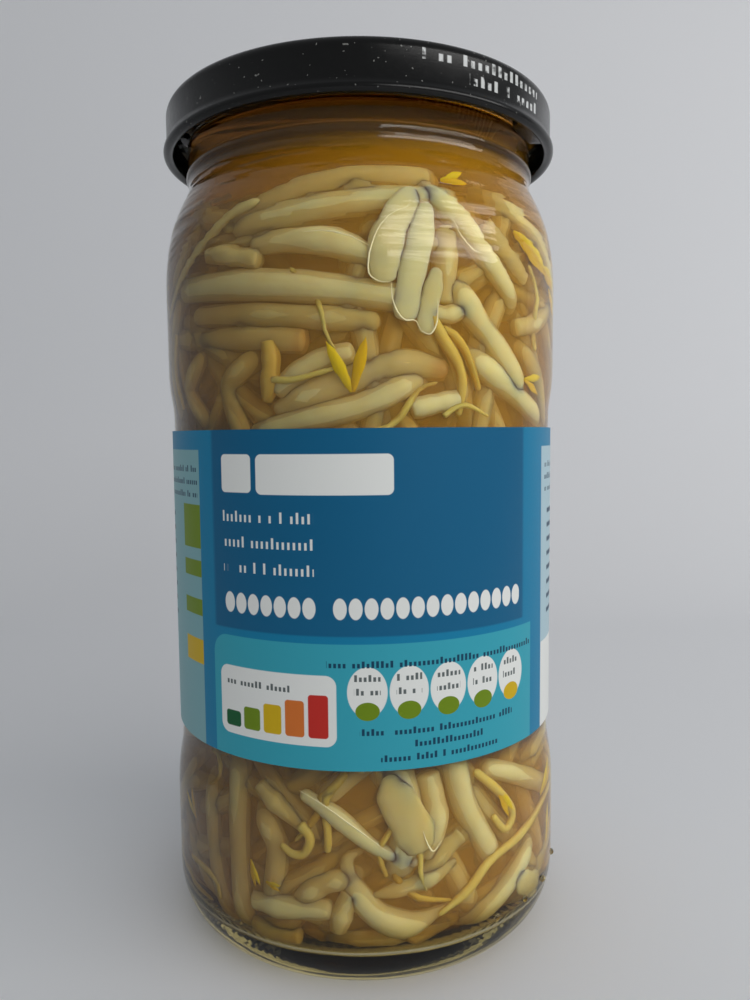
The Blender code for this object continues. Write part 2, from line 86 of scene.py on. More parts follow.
# Lid and seal
LID_TOP = 137.5 * MM
LID_LOW = 129.6 * MM
LID_RADIUS = 32.75 * MM
LID_SHEET = 0.35 * MM
LID_CORNER = 1.6 * MM
LID_PANEL_RADIUS = 26.6 * MM
LID_PANEL_EDGE = 1.8 * MM         # width of the step from the panel up to the lid's rim
LID_PANEL_DROP = 0.9 * MM
BUTTON_RADIUS = 11.0 * MM
BUTTON_RISE = 0.35 * MM
CURL_RADIUS = 0.85 * MM
CURL_CENTRE = 32.45 * MM
LUG_TIP = 29.9 * MM
LUG_THICK = 1.5 * MM
LID_STEPS = 160

# Label
LABEL_BOTTOM = 35.1 * MM
LABEL_TOP = 84.4 * MM
LABEL_SHEET = 0.15 * MM
LABEL_RADIUS = 33.05 * MM
LABEL_OVERLAP = 0.1 * MM
LABEL_STEPS = 180

BRINE_LEVEL = 131.0 * MM
HAZE_DEPTHS = (1.1 * MM, 2.1 * MM, 3.3 * MM)
SPROUT_TOP = 119.0 * MM
SPROUT_FOOT = 6.0 * MM
SKIN = 0.35 * MM                  # stems lie this far in from the glass
LAYER_DEPTHS = (SKIN, 3.2 * MM, 6.4 * MM)
FIRST_SET_BACK = 1.4 * MM         # the drawn stems of the first layer lie behind the placed ones
HEART_INSET = 5.4 * MM
PLACED_FROM = -66                 # degrees round between which stems are placed one by one
PLACED_TO = 84
SEED = 24
GOLDEN_TURN = 137.508


class Value:
    """A shader socket that Python's operators work on."""

    def __init__(self, finish, socket):
        self.finish = finish
        self.socket = socket

    def maths(self, operation, *values):
        inputs = dict(enumerate(values))
        return self.finish.add("ShaderNodeMath", {"operation": operation}, inputs)

    def __add__(self, other):
        return self.maths("ADD", self, other)

    def __radd__(self, other):
        return self.maths("ADD", other, self)

    def __sub__(self, other):
        return self.maths("SUBTRACT", self, other)

    def __rsub__(self, other):
        return self.maths("SUBTRACT", other, self)

    def __mul__(self, other):
        return self.maths("MULTIPLY", self, other)

    def __rmul__(self, other):
        return self.maths("MULTIPLY", other, self)

    def __truediv__(self, other):
        return self.maths("DIVIDE", self, other)

    def __abs__(self):
        return self.maths("ABSOLUTE", self)

    def __pow__(self, other):
        return self.maths("POWER", self, other)

    def fraction(self):
        return self.maths("FRACT", self)

    def at_least(self, other):
        return self.maths("MAXIMUM", self, other)

    def at_most(self, other):
        return self.maths("MINIMUM", self, other)

    def ramp(self, low, high):
        """0 below low and 1 above high, or the other way round if low is the larger."""
        settings = {"interpolation_type": "SMOOTHSTEP"}
        if low > high:
            return 1 - self.ramp(high, low)
        inputs = {"Value": self, "From Min": low, "From Max": high}
        return self.finish.add("ShaderNodeMapRange", settings, inputs)


class Finish:
    """A material and its Principled shader."""

    def __init__(self, name, **constants):
        self.material = bpy.data.materials.new(name)
        self.material.use_nodes = True
        self.tree = self.material.node_tree
        self.shader = self.tree.nodes["Principled BSDF"]
        for key, value in constants.items():
            self.shader.inputs[key.replace("_", " ")].default_value = value

    def add(self, kind, settings=None, inputs=None, output=0):
        """A node of a type, its settings, the values or links of its sockets; gives its output."""
        node = self.tree.nodes.new(kind)
        for key, value in (settings or {}).items():
            setattr(node, key, value)
        for key, value in (inputs or {}).items():
            self.join(value, node.inputs[key])
        return Value(self, node.outputs[output])

    def join(self, value, socket):
        if isinstance(value, Value):
            self.tree.links.new(value.socket, socket)
        else:
            socket.default_value = value

    def set(self, name, value):
        self.join(value, self.shader.inputs[name])

    def place(self):
        """The point's Object coordinates."""
        return self.add("ShaderNodeTexCoord", output="Object")

    def split(self, vector):
        node = self.add("ShaderNodeSeparateXYZ", inputs={0: vector}).socket.node
        return [Value(self, node.outputs[i]) for i in range(3)]

    def stretched(self, scale):
        """Object coordinates with each axis scaled."""
        return self.add("ShaderNodeMapping", inputs={"Vector": self.place(), "Scale": scale})

    def noise(self, scale, detail=2.0, roughness=0.5, vector=None):
        inputs = {"Scale": scale, "Detail": detail, "Roughness": roughness}
        inputs["Vector"] = vector or self.place()
        return self.add("ShaderNodeTexNoise", inputs=inputs)

    def mix(self, share, first, second):
        """A colour between two colours."""
        settings = {"data_type": "RGBA"}
        return self.add("ShaderNodeMix", settings, {0: share, 6: first, 7: second}, output=2)

    def attribute(self, name):
        return self.add("ShaderNodeAttribute", {"attribute_name": name}, output="Fac")

    def bump(self, height, distance, strength=1.0):
        inputs = {"Height": height, "Distance": distance, "Strength": strength}
        self.set("Normal", self.add("ShaderNodeBump", inputs=inputs))

    def lets_light_through(self, tint):
        """Lamps shine through the surface to what lies behind it, tinted."""
        path = self.add("ShaderNodeLightPath", output="Is Shadow Ray")
        clear = self.add("ShaderNodeBsdfTransparent", inputs={"Color": tint})
        mixed = self.add(
            "ShaderNodeMixShader",
            inputs={0: path, 1: Value(self, self.shader.outputs[0]), 2: clear},
        )
        self.join(mixed, self.tree.nodes["Material Output"].inputs["Surface"])


def rgb(red, green, blue):
    """A colour given as the screen shows it, 0 to 255, for a shader."""
    return (*[(c / 255) ** 2.2 for c in (red, green, blue)], 1.0)


# Outlines

def curve_between(start, start_handle, end_handle, end, count):
    """Points on a Bezier curve in the outline's plane."""
    corners = [Vector((r, z)) for r, z in (start, start_handle, end_handle, end)]
    return [tuple(point) for point in interpolate_bezier(*corners, count)]


def arc(centre, radius, start, end, count):
    """Points on an arc in the outline's plane, angles in degrees from outwards."""
    angles = [math.radians(start + (end - start) * i / (count - 1)) for i in range(count)]
    return [(centre[0] + radius * math.cos(a), centre[1] + radius * math.sin(a)) for a in angles]


def bore_outline(inset):
    """The jar's inner wall from the edge of its floor up to the neck, moved in by inset."""
    floor = FLOOR_TOP + inset
    bore = BODY_BORE - inset
    neck = NECK_BORE - inset
    points = curve_between(
        (FLOOR_FLAT - inset, floor),
        (29.6 * MM - inset, floor),
        (bore, floor + 2.6 * MM),
        (bore, floor + 7.5 * MM),
        12,
    )
    points.append((bore, PANEL_LOW - 6 * MM))
    points.append((bore - 0.35 * MM, PANEL_LOW + 2 * MM))
    points.append((bore - 0.35 * MM, PANEL_HIGH - 2 * MM))
    points.append((bore, PANEL_HIGH + 7 * MM))
    points.extend(
        curve_between(
            (bore, SHOULDER_FOOT),
            (bore + 0.7 * MM, SHOULDER_FOOT + 14.5 * MM),
            (neck + 0.3 * MM, SHOULDER_TOP - 5.5 * MM),
            (neck, SHOULDER_TOP + 0.5 * MM),
            18,
        )
    )
    return points


WALL = bore_outline(0.0)


def bore_radius(height):
    """Radius of the inner wall at a height."""
    if height <= WALL[0][1]:
        return WALL[0][0]
    for (low_r, low_z), (high_r, high_z) in zip(WALL, WALL[1:]):
        if height <= high_z:
            return low_r + (high_r - low_r) * (height - low_z) / (high_z - low_z)
    return WALL[-1][0]


def domed_floor(edge):
    """The inner floor from its middle to near its edge, which is at the given height."""
    return [(FLOOR_FLAT * i / 8, edge + FLOOR_DOME * (1 - (i / 8) ** 2)) for i in range(8)]


def glass_outline():
    """From the middle of the floor up the inner wall, over the rim and down to the base."""
    rim = RIM_ROUND
    points = domed_floor(FLOOR_TOP)
    points.extend(WALL)
    points.extend(arc((NECK_BORE + rim, JAR_HEIGHT - rim), rim, 180, 90, 6))
    points.extend(arc((NECK_RADIUS - rim, JAR_HEIGHT - rim), rim, 90, 0, 6))
    bead = (NECK_RADIUS - 0.6 * MM, BEAD_HEIGHT)
    points.extend(arc(bead, 0.6 * MM + BEAD_RISE, 52, -52, 9))
    points.extend(
        curve_between(
            (NECK_RADIUS, SHOULDER_TOP),
            (NECK_RADIUS + 0.3 * MM, SHOULDER_TOP - 4 * MM),
            (SHOULDER_RADIUS + 0.5 * MM, SHOULDER_TOP - 5 * MM),
            (SHOULDER_RADIUS, SHOULDER_FOOT),
            22,
        )
    )
    points.extend(
        curve_between(
            (SHOULDER_RADIUS, PANEL_HIGH + 9 * MM),
            (SHOULDER_RADIUS, PANEL_HIGH + 4 * MM),
            (PANEL_RADIUS, PANEL_HIGH + 3.5 * MM),
            (PANEL_RADIUS, PANEL_HIGH),
            10,
        )
    )
    points.extend(
        curve_between(
            (PANEL_RADIUS, PANEL_LOW),
            (PANEL_RADIUS, PANEL_LOW - 4 * MM),
            (HEEL_RADIUS, PANEL_LOW - 5 * MM),
            (HEEL_RADIUS, PANEL_LOW - 11 * MM),
            10,
        )
    )
    points.extend(
        curve_between(
            (HEEL_RADIUS, 10.0 * MM),
            (HEEL_RADIUS, 4.0 * MM),
            (BEARING_OUTER + 3.4 * MM, 0.9 * MM),
            (BEARING_OUTER, 0.0),
            16,
        )
    )
    points.extend(
        curve_between(
            (BEARING_INNER, 0.0),
            (BEARING_INNER - 1.0 * MM, 0.0),
            (BEARING_INNER - 1.4 * MM, 1.3 * MM),
            (BEARING_INNER - 3.0 * MM, 1.5 * MM),
            6,
        )
    )
    points.append((14 * MM, 0.85 * PUNT_HEIGHT))
    points.append((0.0, PUNT_HEIGHT))
    return points


def lid_outline():
    """Sheet steel: out over the top, down the skirt, round the curl and back up inside."""
    top = LID_TOP
    sheet = LID_SHEET
    panel = top - LID_PANEL_DROP
    corner = (LID_RADIUS - LID_CORNER, top - LID_CORNER)
    curl = (CURL_CENTRE, LID_LOW + CURL_RADIUS)
    button = (BUTTON_RADIUS, panel)
    step = 1.5 * MM
    rise = curve_between(
        (LID_PANEL_RADIUS, panel),
        (LID_PANEL_RADIUS + 0.9 * MM, panel),
        (LID_PANEL_RADIUS + 0.8 * MM, top),
        (LID_PANEL_RADIUS + LID_PANEL_EDGE, top),
        8,
    )
    dome = curve_between(
        (BUTTON_RADIUS - step, panel + BUTTON_RISE),
        (BUTTON_RADIUS - step / 2, panel + BUTTON_RISE),
        (BUTTON_RADIUS - step / 2, panel),
        button,
        6,
    )
    over = [(0.0, panel + BUTTON_RISE), *dome, *rise]
    points = list(over)
    points.extend(arc(corner, LID_CORNER, 90, 0, 10))
    points.append((LID_RADIUS, curl[1] + CURL_RADIUS + 0.5 * MM))
    points.extend(arc(curl, CURL_RADIUS, 45, -215, 20))
    points.append((LID_RADIUS - sheet, curl[1] + CURL_RADIUS + 0.5 * MM))
    points.extend(arc(corner, LID_CORNER - sheet, 0, 90, 8))
    points.extend((r, z - sheet) for r, z in reversed(over))
    return points


# Mesh tools

def spun(outline, steps, closed=False):
    """A bmesh turned about Z from an outline."""
    shape = bmesh.new()
    verts = [shape.verts.new((r, 0.0, z)) for r, z in outline]
    pairs = list(zip(verts, verts[1:]))
    if closed:
        pairs.append((verts[-1], verts[0]))
    edges = [shape.edges.new(pair) for pair in pairs]
    bmesh.ops.spin(
        shape,
        geom=verts + edges,
        cent=(0, 0, 0),
        axis=(0, 0, 1),
        dvec=(0, 0, 0),
        angle=math.tau,
        steps=steps,
        use_merge=True,
        use_duplicate=False,
    )
    bmesh.ops.remove_doubles(shape, verts=shape.verts, dist=0.001 * MM)
    bmesh.ops.recalc_face_normals(shape, faces=shape.faces)
    return shape


def sector(shape, corners, middle, sweep, rise, steps):
    """Adds a bar bent round Z: a section swept through an angle, climbing as it goes."""
    start = middle - sweep / 2
    ring = [shape.verts.new((r * math.cos(start), r * math.sin(start), z)) for r, z in corners]
    face = shape.faces.new(ring)
    swept = bmesh.ops.spin(
        shape,
        geom=[face, *face.edges, *face.verts],
        cent=(0, 0, 0),
        axis=(0, 0, 1),
        dvec=(0, 0, rise / steps),
        angle=sweep,
        steps=steps,
        use_duplicate=False,
    )
    last = [item for item in swept["geom_last"] if isinstance(item, bmesh.types.BMVert)]
    for end in (ring, last):
        centre = sum((vert.co for vert in end), Vector()) / len(end)
        bmesh.ops.scale(
            shape,
            vec=(END_TAPER, END_TAPER, END_TAPER),
            space=Matrix.Translation(-centre),
            verts=end,
        )


def piece(name, shape, finish, body, node, angle=40):
    """Makes an object of a bmesh, standing for CAD nodes and riding on a body."""
    mesh = bpy.data.meshes.new(name)
    shape.to_mesh(mesh)
    shape.free()
    mesh.materials.append(finish.material)
    mesh.shade_smooth()
    mesh.set_sharp_from_angle(angle=math.radians(angle))
    made = bpy.data.objects.new(name, mesh)
    bpy.context.scene.collection.objects.link(made)
    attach(made, body)
    if node:
        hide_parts(*node)
    return made


# Finishes

def glass_finish():
    glass = Finish(
        "clear_glass",
        Roughness=0.0,
        IOR=1.52,
        Transmission_Weight=1.0,
    )
    x, y, z = glass.split(glass.place())
    # Painted reflection and shade: the thick base is tinted a dark amber, standing in for the brine's
    # amber seen in it from above and for the shade the base lies in
    clear = (0.992, 1.0, 0.996, 1.0)
    glass.set("Base Color", glass.mix(z.ramp(13 * MM, 6 * MM), clear, (0.62, 0.50, 0.17, 1.0)))
    wave = glass.noise(60, detail=1.0, vector=glass.stretched((1, 1, 0.5)))
    streak = glass.noise(130, detail=2.0, vector=glass.stretched((0.4, 0.4, 2.5)))
    streaky = 0.2 + 2.0 * z.ramp(103 * MM, 112 * MM) * z.ramp(127 * MM, 122 * MM)
    turn = x.maths("ARCTAN2", y, x) * KNURLS
    ribs = turn.maths("SINE", turn)
    ribbed = ribs * z.ramp(2.0 * MM, 1.0 * MM)
    glass.bump(wave + streak * streaky + ribbed * 0.15, 0.4 * MM, 0.7)
    glass.set("Specular Tint", (0.45, 0.45, 0.45, 1.0))
    glass.lets_light_through((0.92, 0.94, 0.92, 1.0))
    return glass


def brine_finish():
    brine = Finish(
        "amber_brine",
        Base_Color=(1.0, 0.995, 0.97, 1.0),
        Roughness=0.0,
        IOR=1.345,
        Transmission_Weight=1.0,
    )
    # Glass touches the liquid, so hardly any light turns back between them
    brine.set("Specular Tint", (0.2, 0.2, 0.2, 1.0))
    brine.lets_light_through((1.0, 1.0, 1.0, 1.0))
    amber = {"Color": (0.80, 0.53, 0.0, 1.0), "Density": 88.0}
    absorb = brine.add("ShaderNodeVolumeAbsorption", inputs=amber)
    brine.join(absorb, brine.tree.nodes["Material Output"].inputs["Volume"])
    return brine


def haze_finish():
    """Cloudy liquid: thin veils that soften what lies deeper."""
    haze = Finish("brine_haze", Roughness=1.0, Specular_IOR_Level=0.0)
    cloud = haze.noise(70, detail=2.0)
    haze.set("Base Color", haze.mix(cloud, rgb(210, 162, 44), rgb(192, 136, 26)))
    haze.set("Alpha", 0.15 + 0.15 * cloud)
    return haze


def enamel_finish():
    enamel = Finish("black_enamel", Specular_IOR_Level=0.3)
    mottle = enamel.noise(900, detail=3.0)
    wear = enamel.noise(5200, detail=2.0)
    dust = enamel.noise(2300, detail=0.0).ramp(0.8, 0.82)
    tone = enamel.mix(mottle, rgb(9, 9, 8), rgb(18, 18, 17))
    tone = enamel.mix(dust, tone, rgb(120, 120, 116))
    x, y, z = enamel.split(enamel.place())
    u = x.maths("ARCTAN2", x, y * -1.0) * (LID_RADIUS / MM)
    v = z * (1 / MM)
    marks = strokes(u, v, 132.2, 2.3, 1.5, 1.3, 0.5)
    printed = box(u, v, 10.4, 34.0, 134.2, 136.1).at_least(box(u, v, 17.8, 34.0, 132.0, 134.0))
    printed = marks * printed * mottle.ramp(0.3, 0.5)
    enamel.set("Base Color", enamel.mix(printed, tone, rgb(214, 216, 214)))
    enamel.set("Roughness", 0.17 + mottle * 0.1)
    enamel.bump(wear, 0.02 * MM, 0.5)
    return enamel


def seal_finish():
    seal = Finish("seal_compound", Base_Color=rgb(214, 208, 188), Roughness=0.5)
    seal.bump(seal.noise(1500), 0.03 * MM, 0.5)
    return seal


def sprout_finish(name, pale, deep, rust, clear):
    """Wet flesh that light soaks into: pale to deep by sprout, the deep tone partly the sprout's own and
    partly painted shade on sprouts lying deeper, with rusty cut ends.
    """
    flesh = Finish(
        name,
        Specular_IOR_Level=0.06,
        Subsurface_Weight=clear,
        Subsurface_Scale=4.0 * MM,
        Subsurface_Radius=(1.0, 0.85, 0.5),
    )
    tint = flesh.attribute("tint")
    tip = flesh.attribute("tip")
    cloud = flesh.noise(230, detail=3.0)
    share = (tint * 0.9 + cloud * 0.5 - 0.18).at_least(0.0).at_most(1.0)
    body = flesh.mix(share, pale, deep)
    flesh.set("Base Color", flesh.mix((tip * (0.5 + cloud)).at_most(1.0), body, rust))
    flesh.set("Roughness", 0.3 + cloud * 0.2)
    flesh.bump(flesh.noise(1100, detail=2.0), 0.03 * MM, 0.5)
    flesh.lets_light_through((0.74, 0.66, 0.44, 1.0))
    return flesh


# Print of the label, in millimetres round the jar from the front (u) and up from the base (v)

def band(value, low, high, soft=0.06):
    """1 between two values."""
    return value.ramp(low - soft, low + soft) * value.ramp(high + soft, high - soft)


def box(u, v, left, right, low, high):
    """1 inside a rectangle."""
    return band(u, left, right) * band(v, low, high)


def plaque(u, v, left, right, low, high, corner, soft=0.07):
    """1 inside a rectangle with round corners."""
    across = abs(u - (left + right) / 2) - ((right - left) / 2 - corner)
    up = abs(v - (low + high) / 2) - ((high - low) / 2 - corner)
    outside = across.at_least(0.0) ** 2 + up.at_least(0.0) ** 2
    return (outside ** 0.5).ramp(corner + soft, corner - soft)


def oval(u, v, centre, half, soft=0.05):
    """1 inside an upright oval."""
    across = (u - centre[0]) / half[0]
    up = (v - centre[1]) / half[1]
    return (across ** 2 + up ** 2).ramp(1 + soft, 1 - soft)


def strokes(u, v, base, line, size, pitch, fill=0.6):
    """Rows of short and tall strokes with gaps, in place of lines of text."""
    row = (v - base) / line
    number = row.maths("FLOOR", row)
    up = (row - number) * line
    place = u / pitch + number * 0.37
    cell = place.maths("FLOOR", place) + number * 57.0
    settings = {"noise_dimensions": "1D"}
    chance = place.finish.add("ShaderNodeTexWhiteNoise", settings, {"W": cell})
    top = size * (0.66 + 0.34 * chance.ramp(0.7, 0.72))
    upright = band(place.fraction(), 0.5 - fill / 2, 0.5 + fill / 2, 0.08)
    return upright * (top - up).ramp(-0.05, 0.05) * chance.ramp(0.11, 0.12)


def label_colour(paper, u, v):
    """The fields, plaques and rows that are printed on the label."""
    blue = rgb(0, 126, 168)
    deep = rgb(0, 96, 136)
    cyan = rgb(56, 164, 184)
    field = rgb(128, 176, 182)
    white = rgb(236, 238, 234)
    ink = rgb(14, 66, 92)
    grey = rgb(96, 104, 104)
    green = rgb(112, 140, 22)
    yellow = rgb(212, 176, 20)
    title = strokes(u, v, 63.4, 3.75, 1.6, 0.86, 0.42)
    small = strokes(u, v, 36.4, 1.98, 1.0, 0.68)
    title_rows = box(u, v, -21.0, -5.6, 63.0, 73.2)
    inked = box(u, v, -4.0, 31.4, 50.0, 51.4).at_least(box(u, v, 0.7, 26.4, 40.2, 41.6))
    inked = inked.at_least(box(u, v, 8.0, 20.0, 38.2, 39.6))
    inked = inked.at_least(box(u, v, 3.7, 23.2, 36.2, 37.6))
    beside = band(abs(u), 38.0, 76.0) * band(v, 74.0, 79.2)
    inked = inked.at_least(beside).at_least(box(u, v, -38.1, -27.6, 74.0, 79.2))
    patches = band(v, 66.1, 72.9).at_least(band(v, 61.6, 64.2)).at_least(band(v, 55.5, 58.1))
    side = band(u, -33.0, -26.9)
    word = (u + 21.0) / 2.245
    bead = oval((word.fraction() - 0.5) * 2.245, v, (0.0, 58.8), (0.98, 1.55), 0.12)
    beads = bead * (1 - band(word, 7.0, 8.0, 0.01)) * band(u, -21.0, 28.2)
    place = (u + 21.5) / 3.6
    step = place.maths("FLOOR", place)
    bar_high = 42.2 + step
    bar = plaque(place.fraction() * 3.6, v, 0.3, 3.3, 39.8, bar_high, 0.5) * band(u, -21.5, -3.5)
    tone = paper.mix(step.ramp(0.4, 0.6), rgb(10, 92, 50), green)
    for number, colour in enumerate((yellow, rgb(214, 116, 50), rgb(196, 48, 40))):
        tone = paper.mix(step.ramp(1.4 + number, 1.6 + number), tone, colour)
    across = (((u + 1.19) / 6.08).fraction() - 0.5) * 6.08
    five = band(u, -1.19, 29.21)
    ovals = oval(across, v, (0.0, 46.7), (2.9, 3.7)) * five
    dots = oval(across, v, (0.0, 43.9), (1.75, 1.35)) * five
    greyed = ovals * band(abs(across), 0.0, 1.9) * band(v, 46.1, 49.6)
    greyed = greyed.at_least(box(u, v, -21.0, -9.6, 46.2, 47.6))
    back = abs(u)
    ruled = band((v / 2.4).fraction(), 0.3, 0.62, 0.08)
    back_rows = ruled * band(back, 86.0, 99.0) * band(v, 42.0, 78.0)
    side_rows = ruled * band(back, 40.0, 74.0) * band(v, 53.0, 72.0)
    base = paper.mix(band(u, -23.3, 29.3, 0.5) * v.ramp(54.6, 55.0), blue, deep)
    for mask, colour in (
        (plaque(u, v, -23.8, 60.0, 0.0, 53.7, 3.0) * u.ramp(31.9, 31.8), cyan),
        (box(u, v, -80.0, -26.9, 0.0, 81.4), field),
        (box(u, v, 36.2, 80.0, 0.0, 81.4), rgb(176, 204, 214)),
        (box(u, v, 36.4, 78.0, 0.0, 49.3), white),
        (plaque(u, v, -21.1, -15.4, 75.2, 80.8, 0.7), white),
        (plaque(u, v, -14.5, 5.9, 75.0, 80.8, 0.9), white),
        (title * title_rows, white),
        (beads, white),
        (plaque(u, v, -22.3, -2.6, 38.6, 49.1, 1.6), white),
        (bar, tone),
        (ovals, white),
        (dots, paper.mix(u.ramp(23.0, 23.2), green, yellow)),
        (small * greyed, grey),
        (small * inked, ink),
        (side * patches, green),
        (side * band(v, 47.8, 51.7), yellow),
        (band(back, 84.0, 101.0, 0.1) * band(v, 40.0, 80.0), white),
        (back_rows, grey),
        (side_rows, ink),
    ):
        base = paper.mix(mask, base, colour)
    return base


def label_finish():
    paper = Finish("printed_paper", Roughness=0.42, Specular_IOR_Level=0.25)
    x, y, z = paper.split(paper.place())
    angle = x.maths("ARCTAN2", x, y * -1.0)
    colour = label_colour(paper, angle * (LABEL_RADIUS / MM), z * (1 / MM))
    fibre = paper.noise(2600, detail=3.0)
    paper.set("Base Color", colour)
    paper.set("Roughness", 0.36 + fibre * 0.12)
    paper.bump(fibre, 0.012 * MM, 0.5)
    return paper


# Sprouts

def rod(sides, rings):
    """A unit rod along Z from 0 to 1, in rings, to be laid along a route."""
    shape = bmesh.new()
    bmesh.ops.create_cone(
        shape, cap_ends=True, segments=sides, radius1=1.0, radius2=1.0, depth=1.0,
        matrix=Matrix.Translation((0, 0, 0.5)),
    )
    sides_up = [edge for edge in shape.edges if abs(edge.verts[0].co.z - edge.verts[1].co.z) > 0.5]
    bmesh.ops.subdivide_edges(shape, edges=sides_up, cuts=rings - 2, use_grid_fill=False)
    mesh = bpy.data.meshes.new("rod")
    shape.to_mesh(mesh)
    shape.free()
    return mesh


def smooth_route(points, place):
    """The point at a share of the way along a smooth curve through the given ones."""
    padded = [2 * points[0] - points[1], *points, 2 * points[-1] - points[-2]]
    spans = len(points) - 1
    k = min(int(place * spans), spans - 1)
    t = place * spans - k
    a, b, c, d = padded[k:k + 4]
    return 0.5 * (
        2 * b + (c - a) * t + (2 * a - 5 * b + 4 * c - d) * t ** 2
        + (3 * b - a - 3 * c + d) * t ** 3
    )


def on_wall(degrees, height, depth):
    """A point at an angle round from the front (-Y) and a distance in from the glass."""
    angle = math.radians(degrees)
    radius = bore_radius(height) - depth
    return Vector((radius * math.sin(angle), -radius * math.cos(angle), height))


def lay(shape, template, points, girth, tint, flat=1.0, rust=0.0):
    """Lays a rod along a route; girth(t) is its radius. Marks its tint and its rusty end."""
    fresh = bmesh.new()
    fresh.from_mesh(template)
    tints = fresh.verts.layers.float.new("tint")
    tips = fresh.verts.layers.float.new("tip")
    frames = {}
    phase = 900 * (points[0].x + points[-1].z)
    for vert in fresh.verts:
        t = round(0.5 - 0.5 * math.cos(math.pi * vert.co.z), 5)
        if t not in frames:
            centre = smooth_route(points, t)
            ahead = smooth_route(points, min(t + 0.02, 1.0)) - smooth_route(points, max(t - 0.02, 0))
            along = ahead.normalized()
            out = Vector((centre.x, centre.y, 0.0)).normalized()
            side = along.cross(out).normalized()
            uneven = 1 + 0.05 * math.sin(11 * t + phase) + 0.03 * math.sin(23 * t + 2 * phase)
            frames[t] = (centre, side, side.cross(along).normalized(), uneven * girth(t))
        centre, side, out, radius = frames[t]
        vert.co = centre + radius * (vert.co.x * side + flat * vert.co.y * out)
        vert[tints] = tint
        vert[tips] = rust * max(0.0, 1 - (1 - t) * 7)
    bmesh.ops.recalc_face_normals(fresh, faces=fresh.faces)
    laid = bpy.data.meshes.new("laid")
    fresh.to_mesh(laid)
    fresh.free()
    shape.from_mesh(laid)
    bpy.data.meshes.remove(laid)


def girth_along(sizes, closed):
    """Radius along a stem from its diameters in mm, in even steps, with rounded ends."""
    radii = [size * MM / 2 for size in sizes]

    def girth(t):
        place = t * (len(radii) - 1)
        k = min(int(place), len(radii) - 2)
        share = place - k
        share = share * share * (3 - 2 * share)
        radius = radii[k] * (1 - share) + radii[k + 1] * share
        end = min(t, 1 - t) / closed
        return radius * (1.0 if end >= 1 else max(0.2, (1 - (1 - end) ** 2) ** 0.5))

    return girth


# Stems against the glass: (diameters in mm along it, depth in mm, tint, rust at its far end,
# whether its ends dive out of sight, [(degrees round, height in mm), ...])
UPPER_FRONT = [
    ((2.4, 3.4, 3.0), 0.9, 0.35, 0, True, [(-37, 114.6), (-17, 117.6), (1, 119.2), (20, 119.2)]),
    ((3.0, 3.8, 3.6), 0.5, 0.1, 0, True, [(-32, 113.4), (-11, 114.9), (9, 116.2), (26, 116.6)]),
    ((1.6, 1.3, 1.0), 0.0, 0.5, 0, False,
     [(-26, 117), (-37, 115), (-49, 111.4), (-60, 107.7), (-72, 103)]),
    ((2.8, 3.9, 4.0, 3.4), 0.0, 0.0, 0, False, [(-29, 110.7), (-13, 110.9), (-2, 109.9), (11, 107.2)]),
    ((2.6, 3.2, 3.0), 0.2, 0.3, 0, False, [(-46, 111), (-36, 109.9), (-25, 108.6)]),
    ((3.6, 4.6, 4.8, 4.2), 0.0, 0.0, 0, True, [(-56, 106.2), (-31, 105.5), (-11, 104.4), (14, 102.6)]),
    ((3.2, 3.6, 3.6, 3.0), 0.5, 0.35, 0, False, [(-54, 102), (-27, 101), (-7, 100), (8, 99.3)]),
    ((3.6, 4.0, 3.8), 0.6, 0.4, 0.5, False, [(-51, 98.1), (-29, 97.7), (-12, 96.9)]),
    ((3.2, 3.6, 3.2), 0.6, 0.55, 0, True, [(-30, 94.3), (-38, 91.5), (-37, 87.5), (-33, 83)]),
    ((2.8, 3.2, 3.0), 0.6, 0.6, 0, True, [(-51, 95), (-58, 91), (-50, 86)]),
    ((3.0, 3.4, 2.8), 0.2, 0.15, 0, False, [(1, 95.2), (-8, 94.2), (-15, 92.4), (-22, 89.8)]),
    ((3.4, 4.4, 4.2, 4.2, 3.4), 0.5, 0.05, 0.9, False,
     [(-23, 86.8), (-12, 89.4), (3, 92.2), (14, 93.6), (28, 92.8)]),
    ((3.4, 4.0, 4.0, 3.4), 0.3, 0.1, 0, True, [(-27, 83.9), (-12, 86), (2, 87.6), (16, 91)]),
    ((3.4, 3.8, 3.4), 0.5, 0.15, 0, False, [(27, 113), (26.5, 108), (25.5, 102)]),
    ((2.4, 2.8, 2.2), 0.3, 0.2, 0, False, [(21, 101), (27, 100.6), (35, 102.2)]),
    ((3.2, 3.8, 3.6, 3.0), 0.0, 0.05, 0, True, [(23, 117), (31, 114), (38, 110), (49, 104.4)]),
    ((3.2, 3.4, 2.8), 0.6, 0.2, 0, False, [(40, 114), (48, 110.4), (58, 107)]),
    ((3.0, 3.6, 3.0), 0.4, 0.25, 0, True, [(50, 117), (68, 113.6), (82, 107)]),
    ((3.8, 4.4, 4.2, 3.2), 0.1, 0.1, 0, True, [(31, 103.6), (38, 99.4), (46, 95.4), (54, 91)]),
    ((3.6, 4.0, 3.4), 0.1, 0.05, 0, True, [(37, 93.9), (48, 91), (66, 86.6)]),
    ((3.2, 3.4, 3.2), 0.1, -0.2, 0, False, [(16, 87), (23, 87.9), (31, 88.6)]),
    ((2.8, 3.2, 2.8), 0.5, 0.15, 0, False, [(52, 99.6), (64, 101), (80, 105)]),
    ((3.0, 3.6, 3.0), 0.9, 0.3, 0, True, [(58, 96), (68, 92), (76, 86)]),
    ((2.6, 3.0, 2.6), 0.7, 0.45, 0, True, [(-64, 104), (-70, 97), (-68, 88)]),
]
